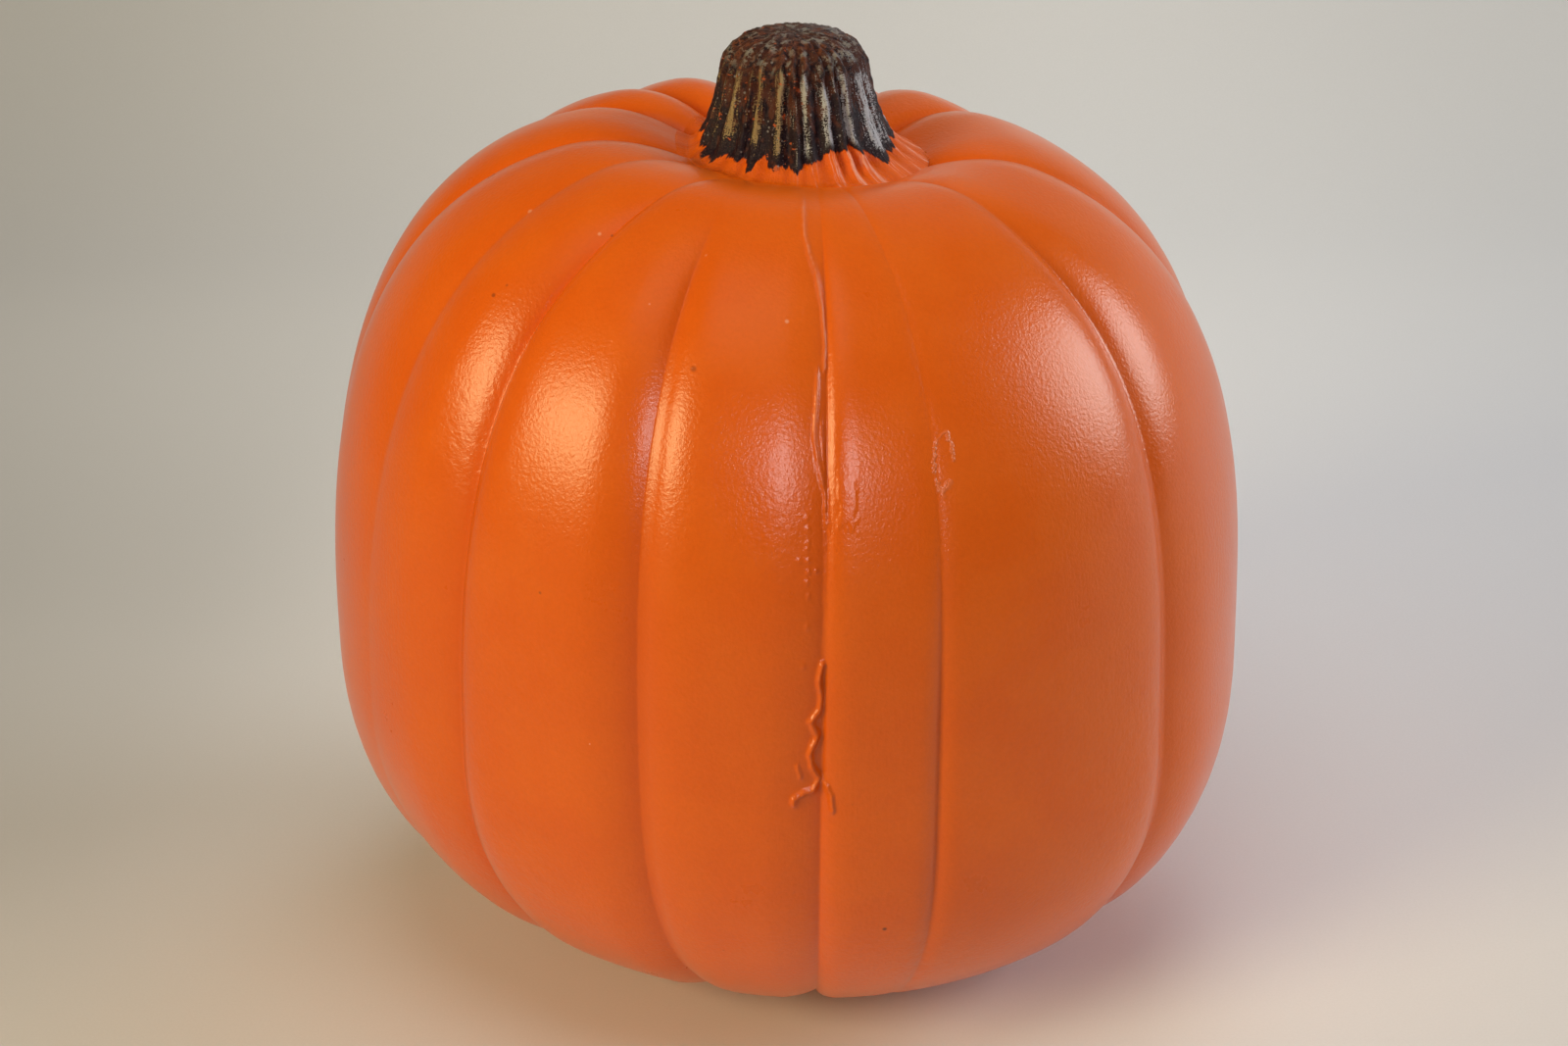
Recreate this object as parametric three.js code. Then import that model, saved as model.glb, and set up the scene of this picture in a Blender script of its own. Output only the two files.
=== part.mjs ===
// An artificial carving pumpkin: a ribbed orange body whose skin flares up into the foot of the stem,
// and a dark ribbed stem standing on that foot. Both are solid and neither moves.
// Millimetres, +Z up, front facing -Y. The origin lies on the flat spot that the pumpkin rests on,
// under the middle of its bounding box.
import * as THREE from 'three';

// ---- body: the line over the crest of a rib ----
const RADIUS = 111.4;             // half the width across the belly
const BELLY_HEIGHT = 83.7;        // widest level, above the floor
const CREST_HEIGHT = 218;         // where the crests would meet over the axis, with no hollow in the top
const UPPER_POWER = 2.83;         // roundness of the shoulder: 2 is an ellipse, more is squarer
const LOWER_POWER = 2.29;         // roundness below the belly
const FLAT_CUT = 2.2;             // how much of the round bottom the flat spot takes off

// ---- body: how the casting departs from a true round ----
const OVAL = 0.028;               // share by which front and back stand in and the sides stand out
const DIAGONAL = 0.053;           // share by which opposite quarters swell above and below the belly
const TIP = 0.053;                // share by which the +X side is lower than the -X side
const LEAN = 0.018;               // sideways drift towards +X for each millimetre of height
const TOP_DRIFT = new THREE.Vector2(4.3, -1.6);   // where the ribs meet, from the belly's axis

// ---- body: the hollow round the stem, and the flat spot ----
const HOLLOW_RADIUS = 56;
const HOLLOW_INNER_RADIUS = 30;
const HOLLOW_DROP = 7.1;          // how far the skin falls from the crest to the inner radius
const FLAT_RADIUS = 18;           // inside it the underside is plain, with no grooves
const GROOVE_START = 50;          // radius at which the grooves of the underside have their full depth

// ---- body: the grooves between the ribs, in order round the body from the -X side ----
// path: its azimuth at the belly in degrees from the front towards +X, its drift up to the pole, and its curl in
// the last stretch up to the pole. depths: in mm beside the stem, at the shoulder, at the belly and underneath.
// reach: over how many degrees the ribs on its left and right roll into it. crisp: how late each of them does it,
// from 1, a plain slope, to 4, a sharp edge.
const GROOVES = [
  { path: [-113, 0, 6], depths: [3.4, 4.2, 2.6, 3], reach: [11, 11], crisp: [1.6, 1.6] },
  { path: [-84, -4, 18], depths: [2.6, 4.2, 2.4, 3.2], reach: [11, 11], crisp: [1.6, 1.6] },
  { path: [-63.5, 6, 4], depths: [0.8, 1.4, 0.4, 2.2], reach: [8, 8], crisp: [1.6, 1.8] },
  { path: [-45.2, 2.8, 18.5], depths: [0.8, 4.6, 3.2, 4.2], reach: [8, 7], crisp: [1, 3] },
  { path: [-18.8, -1, 0], depths: [0.2, 2.8, 3.6, 2.6], reach: [6, 7], crisp: [1, 2] },
  { path: [4, 0.5, 0], depths: [0.3, 1.9, 2.4, 2.2], reach: [6, 5], crisp: [1, 2.6] },
  { path: [18.8, 0.8, -8], depths: [0.3, 0.3, 1.6, 0.3], reach: [2.2, 2], crisp: [1.1, 1.5] },
  { path: [55.3, 2, -14], depths: [0.8, 2.8, 2.8, 4], reach: [9, 8], crisp: [2.4, 1.3] },
  { path: [97, -1, -14], depths: [2.4, 4.2, 2.6, 3.4], reach: [12, 13], crisp: [1.6, 1.6] },
  { path: [134, -2, 6], depths: [3.4, 4.6, 2.8, 3.2], reach: [13, 12], crisp: [1.6, 1.6] },
  { path: [158, 0, 0], depths: [3.2, 4.2, 2.6, 3], reach: [11, 11], crisp: [1.6, 1.6] },
  { path: [181, 0, 0], depths: [3.4, 4.4, 2.8, 3.2], reach: [11, 11], crisp: [1.6, 1.6] },
  { path: [204, 0, 0], depths: [3.2, 4.4, 2.6, 3.2], reach: [11, 11], crisp: [1.6, 1.6] },
  { path: [226, 0, 3], depths: [3.4, 4.2, 2.8, 3], reach: [11, 10], crisp: [1.6, 1.6] },
];
const CURL_POWER = 8;             // how late on the way up a groove's curl sets in
const ROLL_EDGE = 0.97;           // how near a rib's cross-section comes to a full quarter round in the groove
const SHOULDER_LATITUDES = [8, 38];   // between these a groove's depth goes over from belly to shoulder,
const POLE_LATITUDES = [46, 66];      // between these to its depth beside the stem,
const BOTTOM_LATITUDES = [5, 50];     // and between these, below the belly, to its depth underneath
const SEAM_GROOVE = 5;            // the mould's parting line runs down this groove of the list
const SEAM_HEIGHT = 1.2;
const SEAM_HALF_WIDTH = 0.6;      // degrees
const SEAM_END_LATITUDE = -45;    // the raised line fades out towards here

// ---- stem and its foot ----
const STEM_CENTRE = new THREE.Vector2(3.9, -1.6);
const FOOT_RADIUS = 27.5;
const FOOT_HEIGHT = 209.8;
const STEM_RADIUS = 18;           // at the rim
const TAPER = 4.6;                // how far the sides lean in up to the rim, apart from the flare of the foot
const RIM_HEIGHT = 229.5;         // where its sides turn over into the domed cut end
const FLARE_POWER = 4;            // how fast the flare of the foot dies away upwards
const PAINT_LEVEL = 213;          // top face of the orange foot
const GAP = 0.3;                  // between that face and the underside of the stem
const DOME_RISE = 9.4;            // from the rim to the middle of the cut end
const DOME_POWER = 3.2;           // squareness of the dome's shoulder
const RIB_DEPTH = 1.6;            // of the valleys between the stem's ribs
const RIB_AZIMUTHS = [            // degrees from the front towards +X
  -76, -64, -52, -37, -28, -11, 0, 8, 23, 33, 42, 61, 76,
  90, 104, 118, 131, 146, 160, 173, 188, 202, 214, 229, 243, 256, 270,
];

// ---- fineness of the mesh ----
const STEPS_ACROSS_RIB = [-0.88, -0.68, -0.38, 0, 0.38, 0.68, 0.88];
const SIDE_ROWS = 34;
const COLLAR_ROWS = 4;
const STEM_ROWS = 9;
const DOME_ANGLES = [16, 34, 52, 68, 81];   // degrees round the dome, from its rim
const STEPS_PER_STEM_RIB = 4;

const radians = THREE.MathUtils.degToRad;
const clamp = THREE.MathUtils.clamp;
const lerp = THREE.MathUtils.lerp;
const smoothstep = THREE.MathUtils.smoothstep;

// The crest line at a latitude of the body, -90 below to 90 on top, with its outward normal.
function crestLine(latitude) {
  const upper = latitude > 0;
  const power = upper ? UPPER_POWER : LOWER_POWER;
  const belly = BELLY_HEIGHT + FLAT_CUT;
  const half = upper ? CREST_HEIGHT + FLAT_CUT - belly : belly;
  const across = Math.abs(Math.cos(radians(latitude)));
  const along = Math.abs(Math.sin(radians(latitude)));
  const scale = (across ** power + along ** power) ** (-1 / power);
  const side = upper ? 1 : -1;
  const normal = new THREE.Vector2(
    (scale * across) ** (power - 1) / RADIUS,
    side * (scale * along) ** (power - 1) / half,
  ).normalize();
  return { radius: RADIUS * scale * across, height: belly + side * half * scale * along, normal };
}

// The latitude at which the crest line has a given radius, on the upper or the lower half.
function latitudeOfRadius(radius, side) {
  const power = side > 0 ? UPPER_POWER : LOWER_POWER;
  const share = radius / RADIUS;
  return side * THREE.MathUtils.radToDeg(Math.atan2((1 - share ** power) ** (1 / power), share));
}

function grooveAzimuth(groove, latitude) {
  const rise = Math.sin(radians(latitude));
  const [belly, drift, curl] = groove.path;
  return belly + drift * rise + curl * Math.max(rise, 0) ** CURL_POWER;
}

// How far a rib has rolled off its crest: 0 out of the groove's reach, 1 in its bottom.
function rollOff(nearness, crispness) {
  return (1 - Math.sqrt(1 - ROLL_EDGE * nearness ** crispness)) / (1 - Math.sqrt(1 - ROLL_EDGE));
}

// Depth of the skin under the crest line, from all the grooves in reach.
function grooveDepth(azimuth, latitude) {
  const shoulderShare = smoothstep(latitude, ...SHOULDER_LATITUDES);
  const poleShare = smoothstep(latitude, ...POLE_LATITUDES);
  const bottomShare = smoothstep(-latitude, ...BOTTOM_LATITUDES);
  return GROOVES.reduce((depth, groove) => {
    const aside = THREE.MathUtils.euclideanModulo(azimuth - grooveAzimuth(groove, latitude) + 180, 360) - 180;
    const side = aside < 0 ? 0 : 1;
    const [pole, shoulder, belly, bottom] = groove.depths;
    const upper = (shoulder - belly) * shoulderShare + (pole - shoulder) * poleShare;
    const deepest = belly + upper + (bottom - belly) * bottomShare;
    return depth + deepest * rollOff(clamp(1 - Math.abs(aside) / groove.reach[side], 0, 1), groove.crisp[side]);
  }, 0);
}

// A point of the skin from its azimuth, its latitude and its depth under the crest line.
function skinPoint(azimuth, latitude, depth) {
  const crest = crestLine(latitude);
  const rise = Math.sin(radians(latitude));
  const turn = radians(azimuth);
  let radius = crest.radius - crest.normal.x * depth;
  let height = crest.height - crest.normal.y * depth;
  if (latitude > 0) {
    const inward = clamp((HOLLOW_RADIUS - radius) / (HOLLOW_RADIUS - HOLLOW_INNER_RADIUS), 0, 2);
    height -= HOLLOW_DROP * inward ** 2;
  }
  radius *= 1 - OVAL * Math.cos(2 * turn) - DIAGONAL * rise * Math.sin(2 * turn);
  height *= 1 - TIP * Math.sin(turn) * clamp(radius / RADIUS, 0, 1);
  return new THREE.Vector3(
    radius * Math.sin(turn) + LEAN * (height - RADIUS) + TOP_DRIFT.x * rise ** 2,
    -radius * Math.cos(turn) + TOP_DRIFT.y * rise ** 2,
    Math.max(height - FLAT_CUT, 0),
  );
}

// One row of skin round the body: each rib's columns run with its grooves.
function skinRow(latitude) {
  const fade = latitude < 0 ? smoothstep(crestLine(latitude).radius, FLAT_RADIUS, GROOVE_START) : 1;
  const seam = SEAM_HEIGHT * smoothstep(latitude, SEAM_END_LATITUDE, 0);
  const row = [];
  GROOVES.forEach((groove, index) => {
    const next = GROOVES[(index + 1) % GROOVES.length];
    const start = grooveAzimuth(groove, latitude);
    let end = grooveAzimuth(next, latitude);
    if (end < start) end += 360;
    const width = end - start;
    const onSeam = index === SEAM_GROOVE;
    const seamStep = 2 * SEAM_HALF_WIDTH / width;
    const steps = [-1, ...STEPS_ACROSS_RIB];
    if (onSeam) steps.splice(1, 0, seamStep - 1);
    if ((index + 1) % GROOVES.length === SEAM_GROOVE) steps.push(1 - seamStep);
    steps.forEach((across) => {
      const azimuth = start + width * (across + 1) / 2;
      const raised = onSeam && across === -1 ? seam : 0;
      row.push(skinPoint(azimuth, latitude, grooveDepth(azimuth, latitude) * fade - raised));
    });
  });
  return row;
}

// How deep the valley between two ribs of the stem is at an azimuth: 0 on a rib's crest.
function stemValley(azimuth) {
  const first = RIB_AZIMUTHS[0];
  const turned = first + THREE.MathUtils.euclideanModulo(azimuth - first, 360);
  let index = RIB_AZIMUTHS.length - 1;
  while (RIB_AZIMUTHS[index] > turned) index -= 1;
  const start = RIB_AZIMUTHS[index];
  const end = index + 1 < RIB_AZIMUTHS.length ? RIB_AZIMUTHS[index + 1] : first + 360;
  return RIB_DEPTH * Math.sin(Math.PI * (turned - start) / (end - start)) ** 2;
}

// Radius of the stem and its foot at a height, over the crests of the ribs.
function stemRadius(height) {
  const share = clamp((height - FOOT_HEIGHT) / (RIM_HEIGHT - FOOT_HEIGHT), 0, 1);
  const flare = FOOT_RADIUS - STEM_RADIUS - TAPER;
  return STEM_RADIUS + TAPER * (1 - share) + flare * (1 - share) ** FLARE_POWER;
}

function stemPoint(azimuth, radius, height) {
  const turn = radians(azimuth);
  return new THREE.Vector3(
    STEM_CENTRE.x + radius * Math.sin(turn),
    STEM_CENTRE.y - radius * Math.cos(turn),
    height,
  );
}

// A closed solid from rings of points that climb from its underside to its top, each ring counter-clockwise
// seen from above. Each end is closed by a fan round the middle of its ring.
function solidFromRings(rings) {
  const count = rings[0].length;
  const positions = rings.flat().flatMap((point) => [point.x, point.y, point.z]);
  const middleOf = (ring) => (
    ring.reduce((sum, point) => sum.add(point), new THREE.Vector3()).divideScalar(count)
  );
  const bottom = rings.length * count;
  const top = bottom + 1;
  [rings[0], rings.at(-1)].forEach((ring) => positions.push(...middleOf(ring).toArray()));
  const faces = [];
  for (let column = 0; column < count; column += 1) {
    const beside = (column + 1) % count;
    faces.push(bottom, beside, column);
    for (let level = 0; level < rings.length - 1; level += 1) {
      const low = level * count;
      const high = low + count;
      faces.push(low + column, low + beside, high + beside, low + column, high + beside, high + column);
    }
    const last = (rings.length - 1) * count;
    faces.push(last + column, last + beside, top);
  }
  const geometry = new THREE.BufferGeometry();
  geometry.setAttribute('position', new THREE.Float32BufferAttribute(positions, 3));
  geometry.setIndex(faces);
  geometry.computeVertexNormals();
  return geometry;
}

function makeBody() {
  const lowest = latitudeOfRadius(FLAT_RADIUS, -1);
  const highest = latitudeOfRadius(FOOT_RADIUS + 1, 1);
  const rings = [];
  for (let row = 0; row <= SIDE_ROWS; row += 1) rings.push(skinRow(lerp(lowest, highest, row / SIDE_ROWS)));
  // the foot of the stem rises from the last row, and ends in a flat face under the stem
  const azimuths = rings.at(-1).map((point) => THREE.MathUtils.radToDeg(
    Math.atan2(point.x - STEM_CENTRE.x, STEM_CENTRE.y - point.y),
  ));
  for (let row = 1; row <= COLLAR_ROWS; row += 1) {
    const height = lerp(FOOT_HEIGHT, PAINT_LEVEL, row / COLLAR_ROWS);
    const showing = row / COLLAR_ROWS;
    rings.push(azimuths.map((azimuth) => (
      stemPoint(azimuth, stemRadius(height) - showing * stemValley(azimuth), height)
    )));
  }
  return solidFromRings(rings);
}

function makeStem() {
  const azimuths = RIB_AZIMUTHS.flatMap((start, index) => {
    const end = RIB_AZIMUTHS[index + 1] ?? RIB_AZIMUTHS[0] + 360;
    return Array.from({ length: STEPS_PER_STEM_RIB }, (_, step) => lerp(start, end, step / STEPS_PER_STEM_RIB));
  });
  const ring = (radius, height, ribShare) => azimuths.map((azimuth) => (
    stemPoint(azimuth, radius - ribShare * stemValley(azimuth), height)
  ));
  const underside = PAINT_LEVEL + GAP;
  const rings = [];
  for (let row = 0; row <= STEM_ROWS; row += 1) {
    const height = lerp(underside, RIM_HEIGHT, row / STEM_ROWS);
    rings.push(ring(stemRadius(height), height, 1));
  }
  // the ribs fold over the rim and die out on the domed cut end
  DOME_ANGLES.forEach((angle) => {
    const inward = Math.cos(radians(angle));
    const height = RIM_HEIGHT + DOME_RISE * Math.sin(radians(angle));
    rings.push(ring(STEM_RADIUS * inward ** (2 / DOME_POWER), height, inward));
  });
  return solidFromRings(rings);
}

function named(name, geometry, material) {
  const mesh = new THREE.Mesh(geometry, material);
  mesh.name = name;
  return mesh;
}

const orangePaint = new THREE.MeshStandardMaterial({ color: 0xd9561c, roughness: 0.45, metalness: 0 });
const darkPaint = new THREE.MeshStandardMaterial({ color: 0x2a1d1a, roughness: 0.5, metalness: 0 });

const pumpkin = new THREE.Group();
pumpkin.add(named('pumpkin_body', makeBody(), orangePaint), named('stem', makeStem(), darkPaint));

// stand the flat spot on the floor, under the middle of the bounding box
const middle = new THREE.Box3().setFromObject(pumpkin).getCenter(new THREE.Vector3());
pumpkin.position.set(-middle.x, -middle.y, 0);

export default pumpkin;
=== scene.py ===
"""Builds the painted skin and the dry-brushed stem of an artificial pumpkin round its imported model."""

import math
from collections import namedtuple

import bmesh
import bpy
import numpy as np
from bpy.props import FloatProperty, FloatVectorProperty, PointerProperty
from mathutils import Euler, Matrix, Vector, noise


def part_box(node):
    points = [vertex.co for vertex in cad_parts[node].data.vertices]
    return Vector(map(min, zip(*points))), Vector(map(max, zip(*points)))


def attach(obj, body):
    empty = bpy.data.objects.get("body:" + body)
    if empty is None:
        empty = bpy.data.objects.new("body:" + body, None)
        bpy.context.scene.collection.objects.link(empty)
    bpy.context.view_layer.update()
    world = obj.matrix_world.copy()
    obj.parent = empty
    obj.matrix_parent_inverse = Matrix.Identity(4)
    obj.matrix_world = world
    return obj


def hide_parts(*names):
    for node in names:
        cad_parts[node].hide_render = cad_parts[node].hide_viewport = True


bl_info = {
    "name": "Artificial Pumpkin",
    "version": (1, 0, 0),
    "blender": (4, 5, 0),
    "location": "View3D > Sidebar > Pumpkin",
    "description": "Builds a painted artificial pumpkin and its fluted stem on a plain stage",
    "category": "Add Mesh",
}

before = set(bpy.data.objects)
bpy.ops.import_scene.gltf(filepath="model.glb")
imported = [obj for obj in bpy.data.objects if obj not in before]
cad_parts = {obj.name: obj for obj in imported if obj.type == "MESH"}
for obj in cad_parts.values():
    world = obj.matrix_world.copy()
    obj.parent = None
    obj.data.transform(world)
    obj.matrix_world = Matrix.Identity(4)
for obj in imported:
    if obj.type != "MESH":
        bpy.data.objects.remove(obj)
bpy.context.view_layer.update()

MM = 0.001

# ---- the grooves between the ribs, in order round the body from the -X side ----
# azimuth is a groove's place at the belly, in degrees from the front towards +X. It moves by drift up to the
# pole, and by curl in its last stretch there. depths are in millimetres at the pole, the shoulder, the belly
# and the bottom. reach and crisp are for its left and its right side: over how many degrees the ribs roll
# into it, and how late, from 1 (a plain slope) to 4 (a sharp edge). rounding softens its bottom, in degrees.
Groove = namedtuple("Groove", "azimuth drift curl depths reach crisp rounding")
GROOVES = (
    Groove(-113, 0, 6, (3.4, 4.2, 2.6, 3.0), (11, 11), (1.6, 1.6), 0.6),
    Groove(-84, -4, 18, (2.6, 4.2, 2.4, 3.2), (11, 11), (1.6, 1.6), 0.6),
    Groove(-63.5, 6, 4, (0.8, 1.4, 0.4, 2.2), (8, 8), (1.6, 1.8), 0.8),
    Groove(-45.2, 2.8, 18.5, (0.8, 4.6, 3.2, 4.2), (8, 7), (1.0, 3.0), 0.4),
    Groove(-18.8, -1.0, 0, (0.2, 2.8, 3.6, 2.6), (6, 7), (1.0, 2.0), 0.3),
    Groove(4.0, 0.5, 0, (0.3, 1.9, 2.4, 2.2), (6, 5), (1.0, 2.6), 0.3),
    Groove(18.8, 0.8, -8, (0.3, 0.3, 1.6, 0.3), (2.2, 2.0), (1.1, 1.5), 0.25),
    Groove(55.3, 2.0, -14, (0.8, 2.8, 2.8, 4.0), (9, 8), (2.4, 1.3), 0.5),
    Groove(97, -1, -14, (2.4, 4.2, 2.6, 3.4), (12, 13), (1.6, 1.6), 0.6),
    Groove(134, -2, 6, (3.4, 4.6, 2.8, 3.2), (13, 12), (1.6, 1.6), 0.6),
    Groove(158, 0, 0, (3.2, 4.2, 2.6, 3.0), (11, 11), (1.6, 1.6), 0.6),
    Groove(181, 0, 0, (3.4, 4.4, 2.8, 3.2), (11, 11), (1.6, 1.6), 0.6),
    Groove(204, 0, 0, (3.2, 4.4, 2.6, 3.2), (11, 11), (1.6, 1.6), 0.6),
    Groove(226, 0, 3, (3.4, 4.2, 2.8, 3.0), (11, 10), (1.6, 1.6), 0.6),
)
CURL_POWER = 8           # how late on the way up a groove's curl sets in
SEAM_GROOVE = 5          # the mould's parting line runs down this one
ROLL_EDGE = 0.97         # how near a rib's cross-section comes to a full quarter round at its edge
SHOULDER_LATITUDES = (8.0, 38.0)   # between these a groove's depth goes over from belly to shoulder
POLE_LATITUDES = (46.0, 66.0)      # between these from shoulder to pole
BOTTOM_LATITUDES = (-5.0, -50.0)   # and between these from belly to bottom

# ---- the casting's departures from a true round ----
OVAL = 0.028             # it is wider than deep
DIAGONAL = 0.053         # one diagonal swells above the belly, and the other below it
TIP = 0.053              # its +X side is lower than its -X side
LEAN = 0.018             # it leans towards +X
TOP_DRIFT = (4.3 * MM, -1.6 * MM)

# ---- the parting line of the mould and its flaws, in millimetres on the skin ----
# Each point is (side, down): side is measured from the line's own meridian towards +X, and down along the
# crest line from SEAM_TOP_LATITUDE. Each ridge is a height, a half width and a path.
SEAM_AZIMUTH = 3.3
SEAM_DRIFT = 0.5
SEAM_TOP_LATITUDE = 75.0
SEAM_RIDGES = (
    (0.55, 0.50, (
        (-3.7, 17), (-3.5, 21), (-3.6, 32.2), (-2.6, 38), (-1.2, 43.1), (0.2, 52.9), (0.8, 61.8), (0.5, 68.2),
    )),
    (0.60, 0.45, ((0.5, 68.2), (-1.2, 68.7))),
    (0.50, 0.48, ((-1.2, 68.7), (-1.5, 76.9), (-2.0, 83.6), (-1.0, 89.3), (0.8, 96.8), (1.1, 104))),
    (0.30, 0.35, ((-0.4, 80), (0.2, 88), (1.3, 97), (1.7, 106))),
    (0.22, 0.50, ((1.1, 104), (1.4, 127.5), (1.3, 136.7))),
    (1.05, 0.62, (
        (1.0, 136.7), (0.1, 141.1), (0.9, 144.5), (0.6, 148.1), (-1.7, 151), (0.2, 154.6), (-1.7, 158.9),
        (-1.1, 162.4), (0.9, 165.5),
    )),
    (1.00, 0.60, ((0.9, 165.5), (-0.8, 168.6), (-3.0, 169.0), (-5.3, 170.4), (-5.3, 171.8))),
    (0.85, 0.60, ((0.9, 165.5), (2.1, 166.9), (3.5, 169.5), (3.9, 173.7))),
    (0.55, 0.45, ((-4.6, 162.2), (-3.6, 165))),
)
SEAM_BEADS = (
    (-3.4, 102.1), (-3.2, 104.7), (-3.1, 107.7), (-3.3, 109.4), (-3.0, 112), (-2.9, 114.7), (-3.1, 117),
    (-2.8, 120.3), (-3.0, 127.8), (-3.7, 137.1), (-5.2, 112), (-1.1, 114.5), (-8.7, 58), (-4.0, 54.8),
)
BEAD_HEIGHT = 0.28
BEAD_RADIUS = 0.55
FILM_PATCH = ((3.7, 8.3), (92.6, 104.7))     # a thin skin of spare paint: its sides, then its top and bottom
FILM_THICKNESS = 0.16

# ---- azimuths of the stem's ribs, in degrees from the front towards +X ----
STEM_RIBS = (
    -76, -64, -52, -37, -28, -11, 0, 8, 23, 33, 42, 61, 76,
    90, 104, 118, 131, 146, 160, 173, 188, 202, 214, 229, 243, 256, 270,
)
STEM_RING = (*STEM_RIBS, STEM_RIBS[0] + 360)     # the same, closed to a full turn


def length_property(name, description, metres):
    return FloatProperty(name=name, description=description, default=metres, unit="LENGTH")


def power_property(name, description, watts):
    return FloatProperty(name=name, description=description, default=watts, unit="POWER")


def colour_property(name, description, colour):
    return FloatVectorProperty(name=name, description=description, size=3, default=colour, subtype="COLOR")


class PumpkinBodySettings(bpy.types.PropertyGroup):
    radius: length_property("Radius", "Half the width across the belly", 0.1114)
    belly_height: length_property("Belly height", "Widest level, above the floor", 0.0837)
    crest_height: length_property("Crest height", "Where the ribs' crests would meet over the axis", 0.218)
    upper_power: FloatProperty(name="Upper power", description="Squareness of the shoulder", default=2.83)
    lower_power: FloatProperty(name="Lower power", description="Squareness below the belly", default=2.29)
    flat_cut: length_property("Flat cut", "What the flat spot takes off the round bottom", 0.0022)
    flat_radius: length_property("Flat radius", "Plain middle of the underside", 0.018)
    groove_start: length_property("Groove start", "Radius where the underside's grooves are full", 0.050)
    hollow_radius: length_property("Hollow radius", "Outer radius of the hollow round the stem", 0.056)
    hollow_inner: length_property("Hollow inner radius", "Radius where the hollow drop is reached", 0.030)
    hollow_drop: length_property("Hollow drop", "Fall from the crest to the foot of the stem", 0.0071)


class PumpkinStemSettings(bpy.types.PropertyGroup):
    centre: FloatVectorProperty(
        name="Centre", description="Axis of the stem", size=2, default=(0.0039, -0.0016), unit="LENGTH"
    )
    foot_radius: length_property("Foot radius", "Radius of the flared foot", 0.0265)
    foot_height: length_property("Foot height", "Level of the foot", 0.2098)
    radius: length_property("Top radius", "Radius of the cut end", 0.018)
    taper: length_property("Taper", "How far the sides lean in, apart from the foot's flare", 0.0046)
    height: length_property("Rim height", "Level of the cut end's rim", 0.2295)
    dome_rise: length_property("Dome rise", "From the rim to the middle of the cut end", 0.0094)
    rib_depth: length_property("Rib depth", "Depth of the valleys", 0.0016)


class PumpkinPaintSettings(bpy.types.PropertyGroup):
    orange: colour_property("Orange", "Paint of the body", (0.77, 0.116, 0.001))
    orange_thin: colour_property("Thin orange", "Where the paint of the body is thin", (0.79, 0.128, 0.002))
    # painted shade: this darker orange is blended into the body's grooves and between the foot's ribs
    orange_deep: colour_property("Deep orange", "Where the paint has gathered", (0.60, 0.072, 0.001))
    dark: colour_property("Stem dark", "Base paint of the stem", (0.014, 0.005, 0.009))
    dark_red: colour_property("Stem red", "Thin patches of the stem's base paint", (0.078, 0.021, 0.011))
    khaki: colour_property("Khaki brush", "Dry brushing on the stem's left", (0.36, 0.255, 0.12))
    silver: colour_property("Silver brush", "Dry brushing on the stem's right", (0.52, 0.54, 0.58))
    gloss: FloatProperty(name="Roughness", description="Roughness of the body's paint", default=0.31)


class PumpkinStageSettings(bpy.types.PropertyGroup):
    floor: colour_property("Floor", "Paper of the floor and backdrop", (0.78, 0.76, 0.78))
    left_power: power_property("Left lamp", "Power of the warm lamp", 13.6)
    right_power: power_property("Right lamp", "Power of the white lamp", 10.6)
    top_power: power_property("Top lamp", "Power of the soft lamp overhead", 2.6)
    front_power: power_property("Front lamp", "Power of the lamp that only the paint's gloss shows", 1.8)
    back_power: power_property("Back lamp", "Power of the lamp over the floor behind", 0.7)
    air: FloatProperty(name="Air", description="Strength of the light from all round", default=0.10)


# ---- form of the skin ----


def crest_line(body, latitude):
    """Radius and height of the crest line at latitudes in degrees, and its outward normal, as arrays."""
    upper = latitude > 0
    power = np.where(upper, body.upper_power, body.lower_power)
    belly = body.belly_height + body.flat_cut
    half = np.where(upper, body.crest_height + body.flat_cut - belly, belly)
    across = np.abs(np.cos(np.radians(latitude)))
    along = np.abs(np.sin(np.radians(latitude)))
    scale = (across**power + along**power) ** (-1 / power)
    side = np.where(upper, 1.0, -1.0)
    normal_r = (scale * across) ** (power - 1) / body.radius
    normal_z = side * (scale * along) ** (power - 1) / half
    length = np.hypot(normal_r, normal_z)
    radius = body.radius * scale * across
    height = belly + side * half * scale * along
    return radius, height, normal_r / length, normal_z / length


def latitude_of_radius(body, radius, side):
    """Latitude at which the crest line has a radius, on the upper (1) or the lower (-1) half."""
    power = body.upper_power if side > 0 else body.lower_power
    share = np.clip(np.asarray(radius) / body.radius, 0, 1)
    return side * np.degrees(np.arctan2((1 - share**power) ** (1 / power), share))


def groove_azimuth(index, latitude):
    groove = GROOVES[index]
    rise = np.sin(np.radians(latitude))
    return groove.azimuth + groove.drift * rise + groove.curl * np.maximum(rise, 0) ** CURL_POWER


def wrapped(angle):
    """The same angle, from -180 to 180 degrees."""
    return (angle + 180) % 360 - 180


def smoothstep(low, high, value):
    """0 where a value is at low, 1 where it is at high, smooth between. low may be the larger one."""
    share = np.clip((value - low) / (high - low), 0, 1)
    return share * share * (3 - 2 * share)


def roll_off(nearness, crispness):
    """How far a rib has rolled off its crest: 0 out of the groove's reach, 1 in its bottom."""
    nearness = np.clip(nearness, 0, 1)
    return (1 - np.sqrt(1 - ROLL_EDGE * nearness**crispness)) / (1 - math.sqrt(1 - ROLL_EDGE))


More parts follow.
